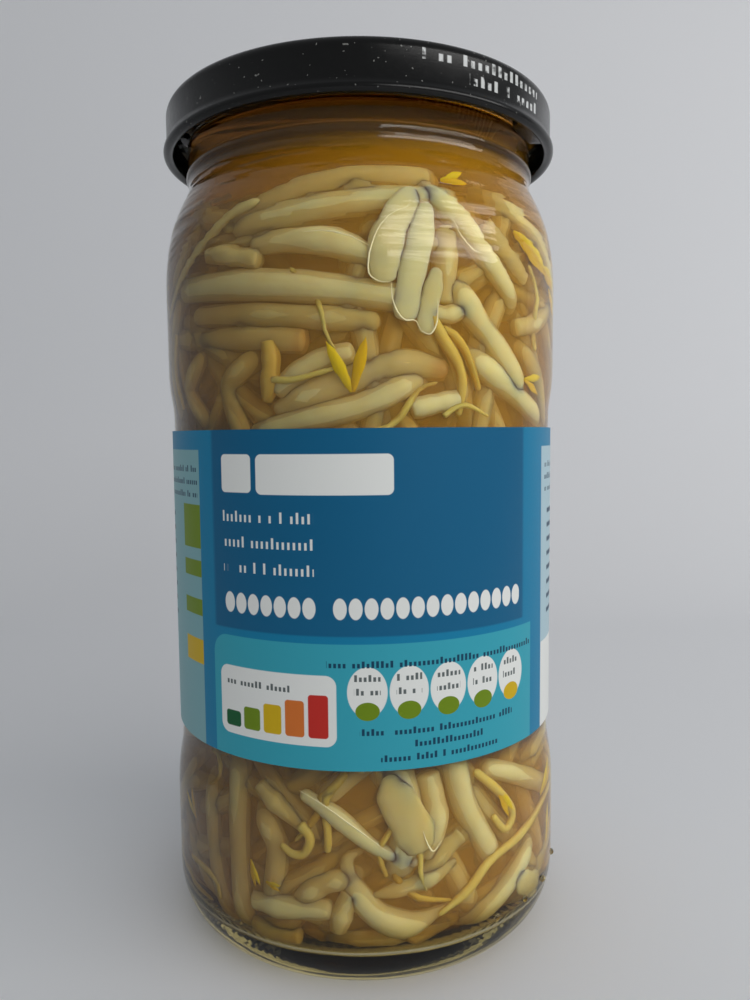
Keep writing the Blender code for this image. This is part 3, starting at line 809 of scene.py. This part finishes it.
LOWER_FRONT = [
    ((2.2, 2.8, 2.2, 1.6), 0.0, -0.1, 0, False, [(-16, 30.2), (-5, 26.6), (5, 22.4), (17, 19.4)]),
    ((0.9, 2.0, 4.2, 4.4, 1.0), 0.0, 0.0, 0, False,
     [(2, 22), (-3, 20.2), (-0.5, 15.6), (6, 11.6), (15, 9.8), (28, 12)]),
    ((3.6, 3.8, 3.6), 0.6, 0.3, 0, True, [(-38, 32), (-38, 21.7), (-37, 9.5)]),
    ((3.2, 3.4, 3.0), 0.8, 0.45, 0, True, [(-50, 27), (-49, 17.4), (-45, 8.5)]),
    ((2.8, 3.4, 2.6, 1.4), 0.1, 0.5, 0, False, [(-30, 30.4), (-25, 28.2), (-20, 26.4), (-15.5, 24.6)]),
    ((3.4, 3.6, 3.2), 0.8, 0.3, 0, True, [(-28, 25), (-24, 20.7), (-26, 13)]),
    ((3.2, 4.0, 3.6, 3.0), 0.1, 0.1, 0, False, [(-33, 11.6), (-24, 11.9), (-16, 12.2), (-7, 12.6)]),
    ((3.0, 3.4, 3.0), 0.7, 0.25, 0, True, [(-16, 14), (-10, 16.4), (-3, 17.6)]),
    ((3.0, 3.4, 2.6), 0.4, 0.25, 0, False, [(-1.5, 15.4), (-4.6, 12), (-6, 8.8)]),
    ((4.4, 5.0, 4.2), 0.3, 0.05, 0, True, [(11.5, 33.6), (14.5, 26.8), (12, 19.6)]),
    ((3.6, 4.2, 3.2), 0.2, 0.1, 0, False, [(20.5, 33), (22.6, 26), (20, 19.6)]),
    ((1.0, 2.6, 3.2, 1.2), 0.3, 0.35, 0, False, [(4, 14.9), (12, 15.7), (20, 16.8), (29, 18.6)]),
    ((3.6, 4.2, 3.6), 0.2, 0.1, 0, True, [(29, 34), (32.4, 26.4), (40.5, 18.8)]),
    ((3.2, 3.6, 3.0), 0.2, 0.05, 0, False, [(39, 31.9), (53, 28.4), (74, 22.6)]),
    ((3.6, 4.0, 3.4), 0.3, 0.0, 0, True, [(40, 8.8), (50, 11.6), (59, 15)]),
    ((3.4, 3.8, 3.2), 0.9, 0.35, 0, True, [(58, 8), (68, 10), (80, 13)]),
    ((2.8, 3.2, 2.8), 0.6, 0.35, 0, False, [(16, 15.6), (24, 20.1), (31, 22.4)]),
    ((2.6, 3.2, 2.6), 0.3, 0.5, 0, False, [(-34, 7.6), (-26, 7.1), (-17, 7.2)]),
    ((3.0, 3.4, 3.0), 0.9, 0.3, 0, True, [(-8, 30), (-2, 33), (6, 36)]),
]
# Roots and threads: (diameters in mm, depth in mm, tint, [(degrees round, height in mm), ...])
UPPER_ROOTS = [
    ((1.8, 2.0, 1.6, 1.2), 0.1, 0.6, [(21, 100.6), (25, 97), (29.5, 93.6), (31, 90.6), (30, 86)]),
    ((1.2, 1.4, 1.0), 0.5, 0.7, [(25, 98.6), (29, 97.4), (33, 94.6), (37, 90)]),
    ((2.4, 3.1, 3.0, 1.8), 0.0, 0.7, [(-23.2, 97.2), (-22.6, 94.4), (-23.2, 91.4), (-24.6, 88.4)]),
    ((1.0, 0.9, 0.6), 0.0, 0.2, [(-22, 91.6), (-16, 91.5), (-11, 92), (-3.6, 93)]),
    ((1.4, 1.2, 0.9), 0.3, 0.4, [(-64, 100), (-66, 94), (-62, 88)]),
    ((0.9, 0.8, 0.5), 0.0, 0.3, [(25, 86), (29, 87.4), (33, 87.6), (40, 86)]),
]
LOWER_ROOTS = [
    ((1.0, 1.6, 1.7, 1.6, 1.3), 0.0, 0.4, [(22.6, 11), (32, 13.8), (40, 17.2), (55, 19), (78, 22)]),
    ((1.6, 1.5, 1.3, 1.0), 0.0, 0.4, [(-16, 25.6), (-13, 23.7), (-14.6, 21.4), (-18, 21), (-21.6, 22.2)]),
    ((1.5, 1.5, 1.4, 1.1), 0.1, 0.35, [(35, 32), (45, 26.6), (49.6, 23), (46, 21.1), (41, 24)]),
    ((1.2, 1.1, 0.9), 0.4, 0.5, [(-62, 13), (-53, 13.2), (-46.5, 12.2), (-45, 9.4)]),
    ((1.0, 0.9, 0.7), 0.6, 0.6, [(8, 30), (10, 26), (6, 22), (8, 18)]),
]
# Painted highlights: thin pale rods for the bright rims where a sprout lies flat on the glass
UPPER_RIMS = [
    (0.26, [(16, 115.4), (9, 113.2), (5.4, 109.6), (4.6, 106), (7, 104.8), (10, 104.6)]),
    (0.28, [(10.4, 104.6), (10.6, 102.4), (12, 100.4), (14, 99.4), (16.5, 99.4), (18, 98)]),
    (0.26, [(18, 98), (20.6, 97.6), (22.4, 99.4), (22.6, 102.4)]),
    (0.22, [(27, 114), (30, 111.4), (33, 109.8), (36.4, 109.4)]),
    (0.2, [(-12, 111.6), (-6, 111.6), (0, 110.8), (5, 109.6)]),
]
LOWER_RIMS = [
    (0.26, [(-15.6, 31), (-9, 29.2), (-3, 27), (3, 24.6), (8, 22.4)]),
    (0.3, [(17.6, 25), (19, 22.8), (20.6, 21.6), (23, 23)]),
]
# Seed leaves: (degrees round, height in mm, lean of the pair, opening in degrees, length in mm)
UPPER_LEAVES = [
    (0.2, 89.6, -6, 21, 7.8),
    (50, 113.6, 116, 3, 10.5),
    (62, 110.4, 108, 4, 9.0),
    (72, 107.0, 130, 7, 6.5),
    (55, 92, 100, 16, 5.0),
    (26, 119.2, 80, 10, 4.4),
]
LOWER_LEAVES = [
    (-31.6, 18.6, 155, 7, 4.0),
    (-26.6, 15.8, 95, 8, 3.0),
    (66, 22.6, 60, 8, 7.0),
    (72, 13.0, 20, 18, 7.0),
    (43, 27.8, 150, 8, 5.0),
    (-57, 20.6, -30, 16, 5.0),
]
# Sprouts pressed flat on the glass: (widths in mm, tint, [(degrees round, height in mm), ...])
UPPER_PADS = [
    ((3.0, 4.4, 4.8, 4.4, 3.4), 0.1, [(18, 117.6), (12.6, 114), (9.4, 110.4), (8.6, 107), (9, 104.6)]),
    ((2.6, 3.6, 4.0, 3.8, 3.0), -0.05, [(21, 116), (18.6, 111), (16, 106), (14.6, 102), (14.4, 99.4)]),
    ((2.0, 2.8, 3.0, 2.4), 0.15, [(23, 107), (21.6, 103.6), (20.2, 100.6), (20, 97.6)]),
]
LOWER_PADS = [
    ((3.0, 5.6, 6.4, 4.6), 0.5, [(9, 33.5), (11, 29.6), (15, 25.4), (18, 21.4)]),
    ((2.4, 4.0, 4.4, 3.0), 0.2, [(52, 12.4), (55, 10.4), (60, 8.8), (66, 8.4)]),
]


def front_pieces(shapes, rows_of):
    """The sprouts that the front shows, each in its own place."""
    stems, roots, leaves, rims = shapes
    stem_rows, pad_rows, root_rows, leaf_rows, rim_rows = rows_of
    fine = rod(14, 26)
    for sizes, depth, tint, rust, dives, places in stem_rows:
        deep = SKIN + depth * MM + max(sizes) * MM / 2
        points = [on_wall(degrees, height * MM, deep) for degrees, height in places]
        if dives:
            points = [diving(points[0], points[1]), *points, diving(points[-1], points[-2])]
        lay(stems, fine, points, girth_along(sizes, 0.05), tint, flat=0.9, rust=rust)
    for widths, tint, places in pad_rows:
        points = [on_wall(degrees, height * MM, 1.0 * MM) for degrees, height in places]
        lay(stems, fine, points, girth_along(widths, 0.08), tint, flat=0.3)
    thin = rod(8, 24)
    for sizes, depth, tint, places in root_rows:
        deep = SKIN + depth * MM + max(sizes) * MM / 2
        points = [on_wall(degrees, height * MM, deep) for degrees, height in places]
        lay(roots, thin, points, girth_along(sizes, 0.03), tint)
    # Painted highlights along sprouts that lie on the glass
    for size, places in rim_rows:
        points = [on_wall(degrees, height * MM, 0.12 * MM) for degrees, height in places]
        lay(rims, rod(5, 22), points, girth_along((0.3 * size, size, 0.3 * size), 0.03), 0.0)
    for degrees, height, lean, opening, length in leaf_rows:
        leaf_pair(leaves, degrees, height, lean, opening, length, 0.25 * MM)


def diving(end, inner):
    """A point that carries a stem on from its end and in towards the jar's axis."""
    onward = end + (end - inner).normalized() * 4 * MM
    inward = Vector((onward.x, onward.y, 0.0)).normalized() * 5 * MM
    return onward - inward


def leaf_pair(leaves, degrees, height, lean, opening, length, depth):
    """Two pointed blades that open from one short stalk."""
    blade = rod(8, 14)
    for side in (-1, 1):
        way = math.radians(lean + side * opening)
        points = []
        for share in (0.0, 0.35, 0.7, 1.0):
            reach = share * length
            turn = math.degrees(reach * math.sin(way) * MM / BODY_BORE)
            rise = height + reach * math.cos(way)
            sink = depth + 0.7 * (1 - share) ** 2 * MM
            points.append(on_wall(degrees + turn, rise * MM, sink))
        width = 0.15 * length
        sizes = (0.6 * width, 1.0 * width, 1.6 * width, 1.0 * width, 0.1 * width)
        # Painted shade: one blade of each pair takes the deeper, more orange tint, as if in shade, the
        # other the paler one
        lay(leaves, blade, points, girth_along(sizes, 0.02), 0.5 + 0.4 * side, flat=0.3)


def scattered(stems, roots, leaves, rng, counts, low, high, depth, set_back, layer_shade_tint):
    """Sprouts shared evenly round the jar and over a stretch of its height, by seeded draws."""
    plain = rod(8, 8)
    thin = rod(6, 10)
    stem_count, root_count, leaf_count = counts
    for number in range(stem_count):
        degrees = (number * GOLDEN_TURN + rng.uniform(-10, 10) + 180) % 360 - 180
        share = (number + rng.uniform(0.1, 0.9)) / stem_count
        size = rng.uniform(2.8, 4.4)
        sizes = (size * 0.8, size, size * 0.95, size * rng.uniform(0.35, 0.85))
        length = rng.uniform(24, 44) * MM
        tilt = math.radians(rng.choice((-1, 1)) * rng.uniform(0, 80))
        bow = rng.uniform(-4, 4) * MM
        # Painted shade: the tint reaches up to the layer's deepest, darker tone
        tint = layer_shade_tint - 0.6 * rng.random()
        dip = rng.uniform(2.5, 5.0) * MM
        back = set_back if PLACED_FROM < degrees < PLACED_TO else 0.0
        middle = low + (high - low) * share
        radius = size * MM / 2
        points = []
        for s in (-1, -0.5, 0, 0.5, 1):
            reach = s * length / 2
            rise = middle + reach * math.sin(tilt) + bow * (1 - s * s)
            rise = min(max(rise, low + radius), high - radius)
            turn = math.degrees(reach * math.cos(tilt) / BODY_BORE)
            points.append(on_wall(degrees + turn, rise, depth + back + radius + dip * s ** 4))
        lay(stems, plain, points, girth_along(sizes, 0.08), tint, rust=0.4 * rng.random() ** 3)
    for number in range(root_count):
        degrees = rng.uniform(-180, 180)
        rise = rng.uniform(low + 3 * MM, high - 3 * MM)
        heading = rng.uniform(-1.5, 1.5)
        points = []
        for step in range(6):
            points.append(on_wall(degrees, rise, depth + rng.uniform(0.4, 1.8) * MM))
            heading += rng.uniform(-0.8, 0.8)
            degrees += math.degrees(2.8 * MM * math.cos(heading) / BODY_BORE)
            rise = min(max(rise + 2.8 * MM * math.sin(heading), low + 1 * MM), high - 1 * MM)
        size = rng.uniform(0.8, 1.6)
        lay(roots, thin, points, girth_along((size, size, 0.5 * size), 0.05), rng.random())
    for number in range(leaf_count):
        degrees = 88 + 200 * (number + rng.random()) / leaf_count
        height = rng.uniform(low / MM + 5, high / MM - 9)
        leaf_pair(leaves, degrees, height, rng.uniform(0, 360), rng.uniform(8, 22),
                  rng.uniform(4.5, 8.0), depth)


def core(low, high, inset):
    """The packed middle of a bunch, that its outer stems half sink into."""
    count = 9
    heights = [high - (high - low) * i / (count - 1) for i in range(count)]
    outline = [(0.0, high)]
    outline.extend((bore_radius(height) - inset, height) for height in heights)
    outline.append((0.0, low))
    return spun(outline, 48)


def build_bunch(node, low, high, rows_of, counts, seed, finishes):
    """One bunch: its stems, roots, seed leaves and painted highlight rims round a packed core."""
    rng = random.Random(seed)
    shapes = [bmesh.new(), bmesh.new(), bmesh.new(), bmesh.new()]
    if rows_of:
        front_pieces(shapes, rows_of)
    for layer, depth in enumerate(LAYER_DEPTHS):
        stem_count = counts[0] if layer < 2 else counts[0] * 2 // 3
        share = (stem_count, 0 if layer else counts[1], 0 if layer else counts[2])
        back = FIRST_SET_BACK if rows_of and not layer else 0.0
        # Painted shade: each deeper layer gets a deeper, darker tint, standing in for the shade and brine
        # between the stems
        layer_shade_tint = 0.8 + 0.2 * layer
        scattered(*shapes[:3], rng, share, low, high, depth, back, layer_shade_tint)
    # The packed core, whose darker amber finish is painted shade
    shapes.append(core(low + 3 * MM, high - 4 * MM, HEART_INSET))
    names = ("_stems", "_roots", "_leaves", "_rims", "_heart")
    for ending, shape, finish in zip(names, shapes, finishes):
        if shape.faces:
            piece(node + ending, shape, finish, "jar", [node], angle=80)
        else:
            shape.free()


# Pieces

def lug_azimuth(index):
    return FIRST_LUG + index * math.tau / LUG_COUNT


def build_jar():
    jar = spun(glass_outline(), GLASS_STEPS)
    root = NECK_RADIUS - 0.2 * MM
    for index in range(LUG_COUNT):
        middle = lug_azimuth(index) - THREAD_LEAD + THREAD_SWEEP / 2
        corners = [
            (root, THREAD_LOW - 0.1 * MM),
            (THREAD_CREST, THREAD_LOW + 0.15 * MM),
            (THREAD_CREST, THREAD_LOW + 0.6 * THREAD_THICK),
            (root, THREAD_LOW + THREAD_THICK + 0.4 * MM),
        ]
        sector(jar, corners, middle, THREAD_SWEEP, RISE_PER_RADIAN * THREAD_SWEEP, 16)
    bmesh.ops.recalc_face_normals(jar, faces=jar.faces)
    for degrees in HEEL_TICKS:
        angle = math.radians(degrees - 90)
        place = (TICK_RADIUS * math.cos(angle), TICK_RADIUS * math.sin(angle), TICK_HEIGHT)
        bmesh.ops.create_icosphere(
            jar, subdivisions=2, radius=HEEL_TICK, matrix=Matrix.Translation(place)
        )
    return piece("jar_glass", jar, glass_finish(), "jar", ["glass_jar"], angle=50)


def build_lid():
    lid = spun(lid_outline(), LID_STEPS)
    low = LID_LOW + 0.15 * MM
    for index in range(LUG_COUNT):
        corners = [
            (CURL_CENTRE, low),
            (CURL_CENTRE, low + LUG_THICK - 0.1 * MM),
            (LUG_TIP, low + LUG_THICK),
            (LUG_TIP, low + 0.35 * MM),
        ]
        sector(lid, corners, lug_azimuth(index), LUG_SWEEP, 0.0, 10)
    bmesh.ops.recalc_face_normals(lid, faces=lid.faces)
    return piece("lid_steel", lid, enamel_finish(), "lid", ["lid_shell"], angle=50)


def build_seal():
    low = JAR_HEIGHT + 0.1 * MM
    high = LID_TOP - LID_SHEET - 0.05 * MM
    inner = LID_PANEL_RADIUS + LID_PANEL_EDGE
    outline = [(inner, high), (31.0 * MM, high), (31.2 * MM, high - 0.2 * MM)]
    outline.extend([(31.2 * MM, low + 0.3 * MM), (30.9 * MM, low), (27.2 * MM, low)])
    ring = spun(outline, 96, closed=True)
    return piece("seal_ring", ring, seal_finish(), "seal", ["lid_seal"])


def build_label():
    """One strip round the jar, its last stretch lifted over its first."""
    shape = bmesh.new()
    start = math.pi / 2 - math.tau / 36
    lap = math.tau / 18
    section = [
        (LABEL_RADIUS, LABEL_BOTTOM),
        (LABEL_RADIUS + LABEL_SHEET, LABEL_BOTTOM),
        (LABEL_RADIUS + LABEL_SHEET, LABEL_TOP),
        (LABEL_RADIUS, LABEL_TOP),
    ]
    ring = [shape.verts.new((r * math.cos(start), r * math.sin(start), z)) for r, z in section]
    count = LABEL_STEPS
    step = (math.tau + lap) / count
    lift = LABEL_SHEET + LABEL_OVERLAP
    top = shape.faces.new(ring)
    for i in range(count):
        made = bmesh.ops.extrude_face_region(shape, geom=[top])["geom"]
        if i:
            bmesh.ops.delete(shape, geom=[top], context="FACES_ONLY")
        top = next(item for item in made if isinstance(item, bmesh.types.BMFace))
        verts = list(top.verts)
        bmesh.ops.rotate(shape, cent=(0, 0, 0), matrix=Matrix.Rotation(step, 3, "Z"), verts=verts)
        angle = start + (i + 1) * step
        risen = min(max((i + 1) * step - (math.tau - 2 * step), 0.0) / (2 * step), 1.0)
        before = min(max(i * step - (math.tau - 2 * step), 0.0) / (2 * step), 1.0)
        out = Vector((math.cos(angle), math.sin(angle), 0.0)) * lift * (risen - before)
        bmesh.ops.translate(shape, vec=out, verts=verts)
    bmesh.ops.recalc_face_normals(shape, faces=shape.faces)
    return piece("paper_label", shape, label_finish(), "jar", ["label"])


def build_brine():
    """The liquid, from the floor of the jar up to a surface that climbs a little at the glass."""
    wall = bore_outline(-WALL_OVERLAP)
    floor = FLOOR_TOP - WALL_OVERLAP
    points = domed_floor(floor)
    points.extend(wall)
    neck = NECK_BORE + WALL_OVERLAP
    points.extend(
        curve_between(
            (neck, BRINE_LEVEL + 1.1 * MM),
            (neck - 0.1 * MM, BRINE_LEVEL + 0.3 * MM),
            (neck - 0.8 * MM, BRINE_LEVEL),
            (neck - 2.5 * MM, BRINE_LEVEL),
            8,
        )
    )
    points.append((0.0, BRINE_LEVEL))
    liquid = spun(points, GLASS_STEPS)
    piece("brine_liquid", liquid, brine_finish(), "jar", ["brine"], angle=60)
    haze = bmesh.new()
    for depth in HAZE_DEPTHS:
        wall = bore_outline(depth)
        level = BRINE_LEVEL - 0.5 * depth
        shell = spun([(0.0, wall[0][1]), *wall, (wall[-1][0], level), (0.0, level)], 96)
        layer = bpy.data.meshes.new("haze")
        shell.to_mesh(layer)
        shell.free()
        haze.from_mesh(layer)
        bpy.data.meshes.remove(layer)
    piece("brine_haze", haze, haze_finish(), "jar", ["brine"], angle=60)


def build_sprouts():
    flesh = sprout_finish("sprout_flesh", rgb(216, 204, 150), rgb(188, 152, 66), rgb(196, 124, 52), 1.0)
    root_skin = sprout_finish("root_skin", rgb(216, 192, 104), rgb(190, 150, 60), rgb(160, 110, 40), 0.8)
    leaf_skin = sprout_finish("leaf_skin", rgb(222, 190, 8), rgb(206, 156, 4), rgb(200, 140, 10), 0.3)
    # Painted highlight: a near-white glossy skin for the bright lines along sprouts on the glass
    rim_highlight = Finish("painted_highlight_rim", Base_Color=rgb(244, 234, 190), Roughness=0.15)
    # Painted shade: the packed middle is a darker amber than the stems, standing in for the shade and
    # brine deep between them
    heart = sprout_finish("packed_heart_painted_shade", rgb(212, 166, 66), rgb(184, 132, 38), rgb(184, 132, 38), 1.0)
    finishes = (flesh, root_skin, leaf_skin, rim_highlight, heart)
    upper = (UPPER_FRONT, UPPER_PADS, UPPER_ROOTS, UPPER_LEAVES, UPPER_RIMS)
    lower = (LOWER_FRONT, LOWER_PADS, LOWER_ROOTS, LOWER_LEAVES, LOWER_RIMS)
    build_bunch("sprouts_upper", 76 * MM, SPROUT_TOP, upper, (78, 12, 6), SEED, finishes)
    build_bunch("sprouts_middle", 44 * MM, 75 * MM, None, (24, 0, 0), SEED + 1, finishes)
    build_bunch("sprouts_lower", SPROUT_FOOT, 43 * MM, lower, (70, 14, 6), SEED + 2, finishes)


# Stage

STAGE_HALF = 0.9
STAGE_HIGH = 0.6
FLOOR_FRONT = -0.9
SWEEP_START = 0.20
SWEEP_DEEP = 0.11
SWEEP_HIGH = 0.11


def build_stage():
    """A pale floor that sweeps up behind the jar, clear of where the back is seen from."""
    shape = bmesh.new()
    rail = [shape.verts.new((x, FLOOR_FRONT, 0.0)) for x in (-STAGE_HALF, STAGE_HALF)]
    last = shape.edges.new(rail)
    bend = [(SWEEP_START, 0.0)]
    for degrees in range(3, 91, 3):
        angle = math.radians(degrees)
        rise = SWEEP_HIGH * (1 - math.cos(angle))
        bend.append((SWEEP_START + SWEEP_DEEP * math.sin(angle), rise))
    bend.append((SWEEP_START + SWEEP_DEEP, STAGE_HIGH))
    place = Vector((0.0, FLOOR_FRONT, 0.0))
    for y, z in bend:
        made = bmesh.ops.extrude_edge_only(shape, edges=[last])["geom"]
        last = next(item for item in made if isinstance(item, bmesh.types.BMEdge))
        target = Vector((0.0, y, z))
        bmesh.ops.translate(shape, vec=target - place, verts=list(last.verts))
        place = target
    bmesh.ops.recalc_face_normals(shape, faces=shape.faces)
    paper = Finish("backdrop", Roughness=0.9, Specular_IOR_Level=0.1)
    paper.set("Base Color", (0.90, 0.905, 0.92, 1.0))
    mesh = bpy.data.meshes.new("backdrop")
    shape.to_mesh(mesh)
    shape.free()
    mesh.materials.append(paper.material)
    mesh.shade_smooth()
    floor = bpy.data.objects.new("backdrop", mesh)
    bpy.context.scene.collection.objects.link(floor)


def soft_light(name, place, target, width, height, power, colour):
    """A rectangular lamp that faces a point."""
    lamp = bpy.data.lights.new(name, "AREA")
    lamp.shape = "RECTANGLE"
    lamp.size = width
    lamp.size_y = height
    lamp.energy = power
    lamp.color = colour
    holder = bpy.data.objects.new(name, lamp)
    bpy.context.scene.collection.objects.link(holder)
    holder.location = place
    holder.rotation_euler = (Vector(target) - Vector(place)).to_track_quat("-Z", "Y").to_euler()
    holder.visible_camera = False


def build_light():
    world = bpy.data.worlds.new("room")
    bpy.context.scene.world = world
    world.use_nodes = True
    back = world.node_tree.nodes["Background"]
    back.inputs["Color"].default_value = (0.90, 0.93, 0.97, 1.0)
    back.inputs["Strength"].default_value = 0.33
    soft_light("window", (0.45, -0.36, 0.35), (0, 0, 0.1), 0.8, 0.2, 1.95, (1.0, 0.99, 0.975))


# Camera: close to the jar, about level with the top edge of the label
PIXELS_HIGH = 1000
FOCAL_PIXELS = 800.0
FILM_HEIGHT = 36.0
CAMERA_PLACE = (6.66 * MM, -144.78 * MM, 83.28 * MM)
CAMERA_PITCH = 0.08
CAMERA_ROLL = -0.01
CAMERA_YAW = -0.03


def build_camera():
    """A camera that looks along +Y, turned by three small angles."""
    data = bpy.data.cameras.new("camera")
    data.sensor_fit = "VERTICAL"
    data.sensor_height = FILM_HEIGHT
    data.lens = FOCAL_PIXELS / PIXELS_HIGH * FILM_HEIGHT
    data.clip_start = 10 * MM
    data.clip_end = 20.0
    holder = bpy.data.objects.new("camera", data)
    bpy.context.scene.collection.objects.link(holder)
    turn = (
        Matrix.Rotation(-CAMERA_YAW, 4, "Z")
        @ Matrix.Rotation(-CAMERA_ROLL, 4, "Y")
        @ Matrix.Rotation(-CAMERA_PITCH, 4, "X")
    )
    level = Matrix.Rotation(math.pi / 2, 4, "X")
    holder.matrix_world = Matrix.Translation(CAMERA_PLACE) @ turn @ level
    bpy.context.scene.camera = holder


build_camera()
build_stage()
build_light()
build_jar()
build_lid()
build_seal()
build_label()
build_brine()
build_sprouts()
bpy.context.scene.view_settings.view_transform = "Standard"
